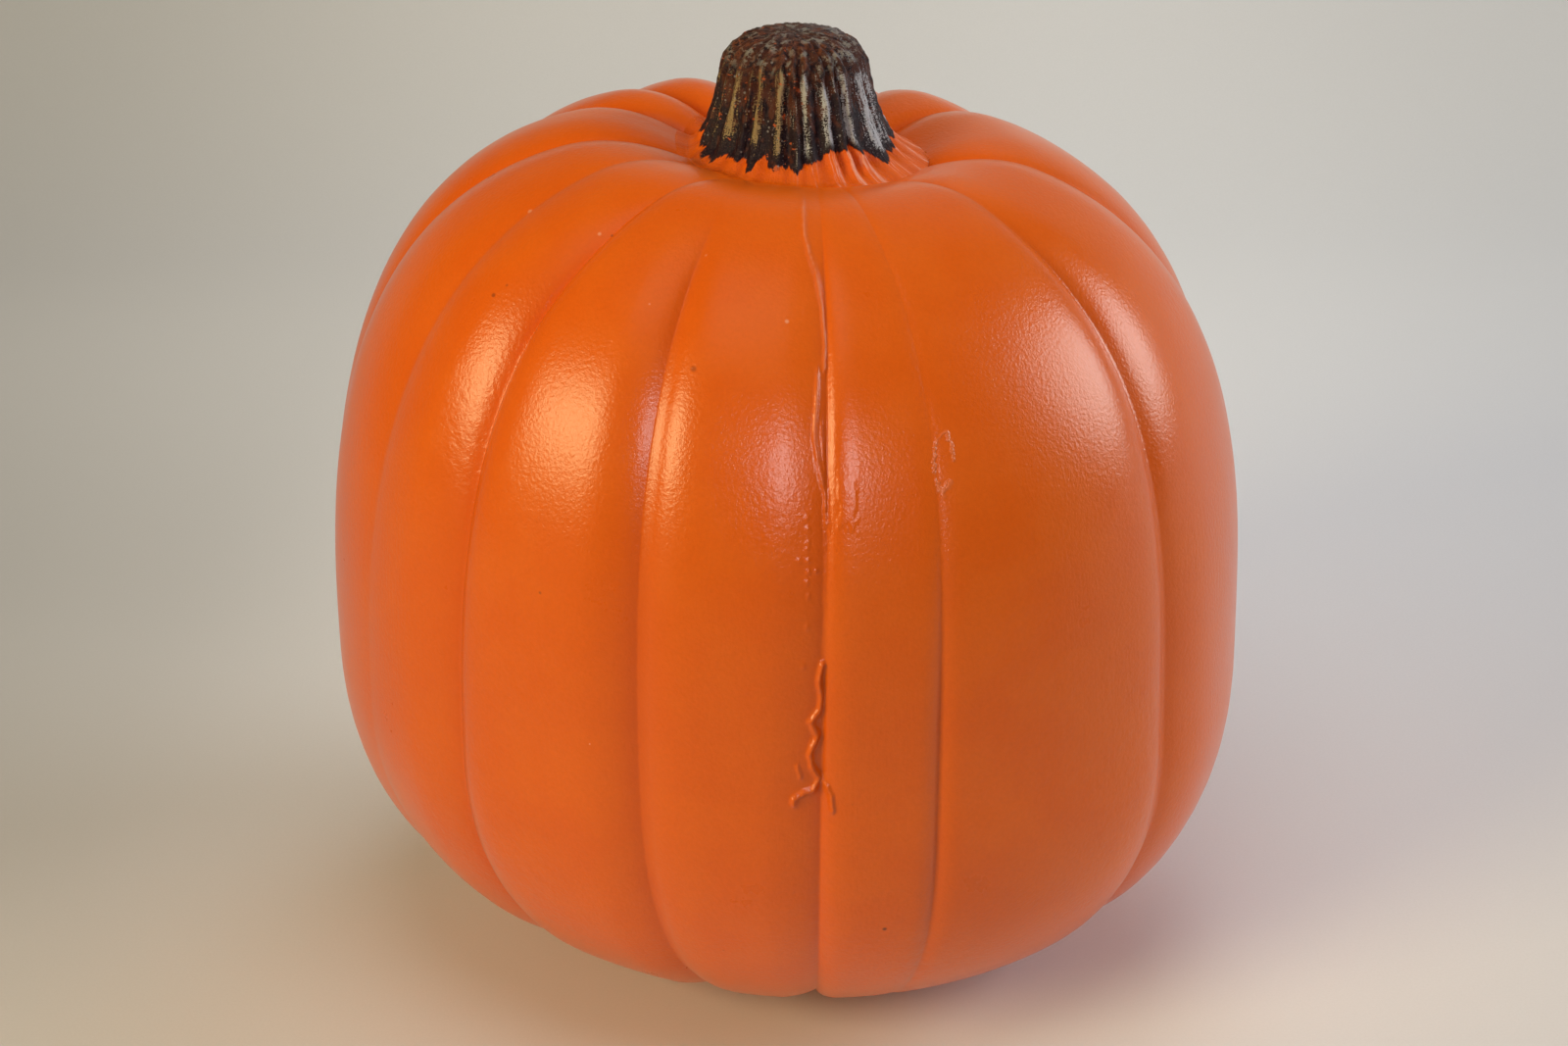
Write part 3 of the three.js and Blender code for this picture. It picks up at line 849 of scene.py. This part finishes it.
def scuff_edge(tree, place):
    """Mask of the raised, broken ring round the scuff."""
    away = put(tree, "ShaderNodeVectorMath", {0: place, 1: SCUFF_PLACE}, operation="SUBTRACT").outputs[0]
    away = stretched(tree, away, [1 / half for half in SCUFF_SIZE])
    ring = put(tree, "ShaderNodeVectorMath", {0: away}, operation="LENGTH").outputs["Value"]
    ring = add_to(tree, ring, waves(tree, place, 700, 2), 0.7)
    edge = weigh(tree, fade(tree, ring, 1.12, 1.3), fade(tree, ring, 1.6, 1.38))
    return weigh(tree, edge, fade(tree, waves(tree, place, 260, 1), 0.36, 0.52))


def orange_paint(paint):
    material, tree, shader = new_material("satin_orange_paint")
    place = object_place(tree)
    film = paint_film(tree, place, peel_scale=1150, peel=1.5, streaks=1.0, lumps=2.2, grain=0.5)
    colour = orange_colour(tree, place, paint, film["Mottle"])

    # painted shade makes the paint darker in the grooves
    colour = blend(tree, weigh(tree, read(tree, "groove"), 0.35), colour, paint.orange_deep)
    # a painted highlight makes the paint paler where the parting line stands out near the top
    upper = fade(tree, along_axis(tree, place, 2), 0.15, 0.18)
    seam_highlight = weigh(tree, fade(tree, read(tree, "seam"), 0.25, 0.7), upper)
    colour = blend(tree, weigh(tree, seam_highlight, 0.4), colour, (0.85, 0.36, 0.22))

    colour = add_flecks(tree, place, colour)
    scuff = scuff_edge(tree, place)
    colour = blend(tree, weigh(tree, scuff, 0.28), colour, (0.85, 0.3, 0.16))
    rough = spread(tree, film["Mottle"], 0.3, 0.7, paint.gloss - 0.04, paint.gloss + 0.04)
    relief = bump(tree, add_to(tree, film["Height"], scuff, 2.5), 0.062 * MM)
    set_inputs(tree, shader, {
        "Base Color": colour, "Roughness": rough, "Normal": relief,
        "Coat Normal": relief, "Coat Weight": 0.45, "Coat Roughness": 0.20,
        "Specular IOR Level": 0.28, "Specular Tint": (1.0, 0.86, 0.7, 1),
    })
    return material


def stem_foot_colour(tree, place, paint, film, streak, rib, east):
    """Orange paint, darker between the ribs as painted shade, and scraped pale on their crests on the +X
    side.
    """
    foot = orange_colour(tree, place, paint, film["Mottle"])
    foot = blend(tree, weigh(tree, fade(tree, rib, 0.5, 0.0), 0.4), foot, paint.orange_deep)
    scraped = weigh(tree, fade(tree, streak, 0.48, 0.62), fade(tree, rib, 0.35, 0.85))
    return blend(tree, weigh(tree, scraped, east), foot, (0.85, 0.36, 0.26))


def stem_paint(paint):
    """Orange foot, over it the dark paint down to its ragged edge, and dry-brushed crests."""
    material, tree, shader = new_material("dry_brushed_stem_paint")
    place, flute = object_place(tree), read(tree, "flute", "Vector")
    over_edge, rib, cut_end = read(tree, "over_edge"), read(tree, "rib"), read(tree, "cut_end")
    film = paint_film(tree, place, peel_scale=800, peel=1.6, streaks=0.0, lumps=3.0, grain=0.6)
    streak = waves(tree, stretched(tree, flute, (1.6, 1.6, 0.10)), 1.0, 3, 0.6)
    smear = waves(tree, stretched(tree, flute, (0.5, 0.5, 0.22)), 1.0, 3, 0.6)
    patch = waves(tree, stretched(tree, flute, (0.16, 0.16, 0.10)), 1.0, 2)
    speckle = waves(tree, flute, 2.6, 3, 0.65)
    side = along_axis(tree, place, 0)
    east = fade(tree, side, 0.0, 0.016)
    upper = fade(tree, over_edge, 4.0, 15.0)

    # nearly black, with browner and greyer patches
    dark = blend(tree, fade(tree, add_to(tree, smear, upper, 0.14), 0.54, 0.68), paint.dark, paint.dark_red)
    dark = blend(tree, weigh(tree, fade(tree, speckle, 0.54, 0.66), 0.5), dark, (0.10, 0.05, 0.06))

    # dry brushing, khaki on the left and silver on the right
    brush = add_to(tree, weigh(tree, patch, 0.8), streak, 2.2)
    for layer, share in ((speckle, 2.4), (rib, 0.2), (upper, 0.06), (read(tree, "stroke"), 0.66)):
        brush = add_to(tree, brush, layer, share)
    brush = fade(tree, brush, 3.22, 3.52)
    brush = weigh(tree, brush, fade(tree, cut_end, 1.3, 0.2))
    brush = weigh(tree, brush, fade(tree, over_edge, 0.5, 3.0))
    tone = blend(tree, fade(tree, side, -0.001, 0.009), paint.khaki, paint.silver)
    painted = blend(tree, weigh(tree, brush, 0.9), dark, tone)
    flecks = fade(tree, waves(tree, flute, 0.42, 3, 0.7), 0.64, 0.68)
    flecks = weigh(tree, flecks, fade(tree, east, 0.6, 0.2))
    painted = blend(tree, weigh(tree, flecks, 0.8), painted, (0.62, 0.12, 0.03))

    # a broken crust on the cut end, and painted glints: scattered pale grey specks in the colour
    grit = fade(tree, waves(tree, place, 620, 3, 0.7), 0.50, 0.56)
    crusted = weigh(tree, fade(tree, cut_end, 0.25, 0.75), grit)
    crust = fade(tree, waves(tree, place, 240, 2), 0.42, 0.58)
    crust = blend(tree, crust, (0.20, 0.055, 0.02), (0.33, 0.30, 0.26))
    painted = blend(tree, weigh(tree, crusted, 0.7), painted, crust)
    painted = blend(tree, weigh(tree, specks(tree, place, 900, 0.30, 0.26), 0.6), painted, (0.34, 0.31, 0.32))

    covered = fade(tree, add_to(tree, over_edge, streak, 3.0), 1.3, 1.7)
    foot = stem_foot_colour(tree, place, paint, film, streak, rib, east)
    height = add_to(tree, film["Height"], streak, 5.0)
    height = add_to(tree, height, speckle, 4.0)
    height = add_to(tree, height, covered, 2.5)
    set_inputs(tree, shader, {
        "Base Color": blend(tree, covered, foot, painted), "Normal": bump(tree, height, 0.07 * MM),
        "Roughness": spread(tree, brush, 0, 1, 0.42, 0.60), "Specular IOR Level": 0.25,
    })
    return material


# ---- stage, lights and camera ----

SWEEP_WIDTH = 5.0
SWEEP_FRONT = -1.5           # the paper starts here, on the floor
SWEEP_BEND = 0.5             # it turns up from here, and this is also the radius of its turn
SWEEP_TOP = 2.0
SWEEP_STEP = 6               # degrees between the edges of its turn

CAMERA_PLACE = (0.0004, -0.8455, 0.4939)
CAMERA_AIM = (0.0, 0.0, 0.1098)
CAMERA_ROLL = -1.0           # degrees
CAMERA_LENS = 55.0           # millimetres, as is the width of the sensor
CAMERA_SENSOR = 23.5

# azimuth, from the front towards +X, and elevation are in degrees round LAMP_AIM. move is an offset from
# there, and unlit is the kind of reflection that leaves a lamp out.
Lamp = namedtuple("Lamp", "name azimuth elevation distance size colour move unlit")
LAMPS = (
    Lamp("left", -48, 22, 1.5, 0.7, (1.0, 0.87, 0.45), (0, 0, 0), ""),
    Lamp("right", 97, 19, 1.5, 0.8, (0.95, 1.0, 1.0), (0, 0, 0), ""),
    Lamp("top", 0, 70, 0.9, 0.6, (1.0, 0.88, 0.76), (0, 0, 0), "glossy"),
    Lamp("front", 14, 21, 0.95, 0.27, (0.80, 0.93, 1.0), (0, 0, 0), "diffuse"),
    Lamp("back", 0, 90, 0.4, 0.3, (0.85, 0.95, 1.0), (0.18, 0.36, 0.0), "glossy"),
)
LAMP_AIM = (0, 0, 0.11)
AIR_COLOUR = (1.0, 0.98, 0.94, 1)


def make_sweep():
    """The paper of the floor, which turns up into the backdrop."""
    turn = [math.radians(angle) for angle in range(0, 91, SWEEP_STEP)]
    bend = [(SWEEP_BEND + SWEEP_BEND * math.sin(a), SWEEP_BEND - SWEEP_BEND * math.cos(a)) for a in turn]
    line = [(SWEEP_FRONT, 0.0), *bend, (2 * SWEEP_BEND, SWEEP_TOP)]
    sweep = bmesh.new()
    verts = [sweep.verts.new((-SWEEP_WIDTH / 2, y, z)) for y, z in line]
    edges = [sweep.edges.new(pair) for pair in zip(verts, verts[1:])]
    made = bmesh.ops.extrude_edge_only(sweep, edges=edges)
    far_side = [part for part in made["geom"] if isinstance(part, bmesh.types.BMVert)]
    bmesh.ops.translate(sweep, vec=(SWEEP_WIDTH, 0, 0), verts=far_side)
    return add_surface("paper_sweep", sweep)


def pale_paper(floor):
    """Paper with painted shade, greyer away from the pumpkin, with a painted shadow on its left, and fine
    fibres.
    """
    material, tree, shader = new_material("pale_paper")
    place = object_place(tree)
    across, along, up = (along_axis(tree, place, axis) for axis in range(3))
    # painted shade: the paper greys towards the front, towards both sides and up the backdrop
    painted_shade = weigh(tree, fade(tree, along, -0.12, -0.42), 0.34)
    painted_shade = add_to(tree, painted_shade, fade(tree, across, -0.08, -0.36), 0.24)
    painted_shade = add_to(tree, painted_shade, fade(tree, across, 0.10, 0.36), 0.17)
    painted_shade = add_to(tree, painted_shade, fade(tree, up, 0.25, 0.60), 0.40)
    # a painted shadow of the pumpkin on the floor to its left
    left = weigh(tree, fade(tree, across, -0.08, -0.20), fade(tree, along, -0.10, 0.06))
    painted_shade = add_to(tree, painted_shade, weigh(tree, left, fade(tree, along, 0.45, 0.18)), 0.20)
    colour = blend(tree, painted_shade, floor, (0.05, 0.05, 0.05))
    fibres = spread(tree, waves(tree, place, 1400, 3), 0.3, 0.7, 0.985, 1.015)
    set_inputs(tree, shader, {"Base Color": shade(tree, colour, fibres), "Roughness": 0.9})
    return material


def light_air(scene, strength):
    world = bpy.data.worlds.new("studio_air")
    world.use_nodes = True
    tree = world.node_tree
    set_inputs(tree, tree.nodes["Background"], {"Color": AIR_COLOUR, "Strength": strength})
    scene.world = world


def add_lamp(lamp, power):
    name = f"{lamp.name}_lamp"
    light = bpy.data.lights.new(name, "AREA")
    light.shape = "DISK"
    light.size = lamp.size
    light.energy = power
    light.color = lamp.colour
    piece = add_object(name, light)
    turn, lift = math.radians(lamp.azimuth), math.radians(lamp.elevation)
    way = Vector((math.sin(turn) * math.cos(lift), -math.cos(turn) * math.cos(lift), math.sin(lift)))
    piece.location = Vector(LAMP_AIM) + way * lamp.distance + Vector(lamp.move)
    piece.rotation_euler = way.to_track_quat("Z", "Y").to_euler()
    piece.visible_glossy = lamp.unlit != "glossy"
    piece.visible_diffuse = lamp.unlit != "diffuse"


def add_camera(scene):
    camera_data = bpy.data.cameras.new("camera")
    camera_data.lens = CAMERA_LENS
    camera_data.sensor_width = CAMERA_SENSOR
    camera = add_object("camera", camera_data)
    camera.location = CAMERA_PLACE
    look = (Vector(CAMERA_AIM) - Vector(CAMERA_PLACE)).to_track_quat("-Z", "Y").to_matrix()
    roll = Euler((0, 0, math.radians(CAMERA_ROLL))).to_matrix()
    camera.rotation_euler = (look @ roll).to_euler()
    scene.camera = camera


class PUMPKIN_OT_stage(bpy.types.Operator):
    """Make the pale sweep, the lamps and the camera"""

    bl_idname = "pumpkin.stage"
    bl_label = "Stage"

    def execute(self, context):
        stage = context.scene.pumpkin_stage
        paper = make_sweep()
        paper.data.materials.append(pale_paper(stage.floor))
        light_air(context.scene, stage.air)
        for lamp in LAMPS:
            add_lamp(lamp, getattr(stage, f"{lamp.name}_power"))
        add_camera(context.scene)
        context.scene.view_settings.view_transform = "Standard"
        return {"FINISHED"}


class PUMPKIN_PT_panel(bpy.types.Panel):
    """Lists the pumpkin's sizes, colours and pieces"""

    bl_label = "Artificial Pumpkin"
    bl_idname = "PUMPKIN_PT_panel"
    bl_space_type = "VIEW_3D"
    bl_region_type = "UI"
    bl_category = "Pumpkin"

    def draw(self, context):
        for operator in OPERATORS:
            self.layout.operator(operator.bl_idname)
        for name in SETTINGS:
            box = self.layout.box()
            settings = getattr(context.scene, name)
            for key in settings.__annotations__:
                box.prop(settings, key)


SETTINGS = {
    "pumpkin_body": PumpkinBodySettings,
    "pumpkin_stem": PumpkinStemSettings,
    "pumpkin_paint": PumpkinPaintSettings,
    "pumpkin_stage": PumpkinStageSettings,
}
OPERATORS = (PUMPKIN_OT_body, PUMPKIN_OT_stem, PUMPKIN_OT_stage)


def register():
    for group in (*SETTINGS.values(), *OPERATORS, PUMPKIN_PT_panel):
        bpy.utils.register_class(group)
    for name, settings in SETTINGS.items():
        setattr(bpy.types.Scene, name, PointerProperty(type=settings))


def unregister():
    for name in SETTINGS:
        delattr(bpy.types.Scene, name)
    for group in (PUMPKIN_PT_panel, *reversed(OPERATORS), *SETTINGS.values()):
        bpy.utils.unregister_class(group)


def main():
    register()
    bpy.ops.pumpkin.body()
    bpy.ops.pumpkin.stem()
    bpy.ops.pumpkin.stage()


if __name__ == "__main__":
    main()
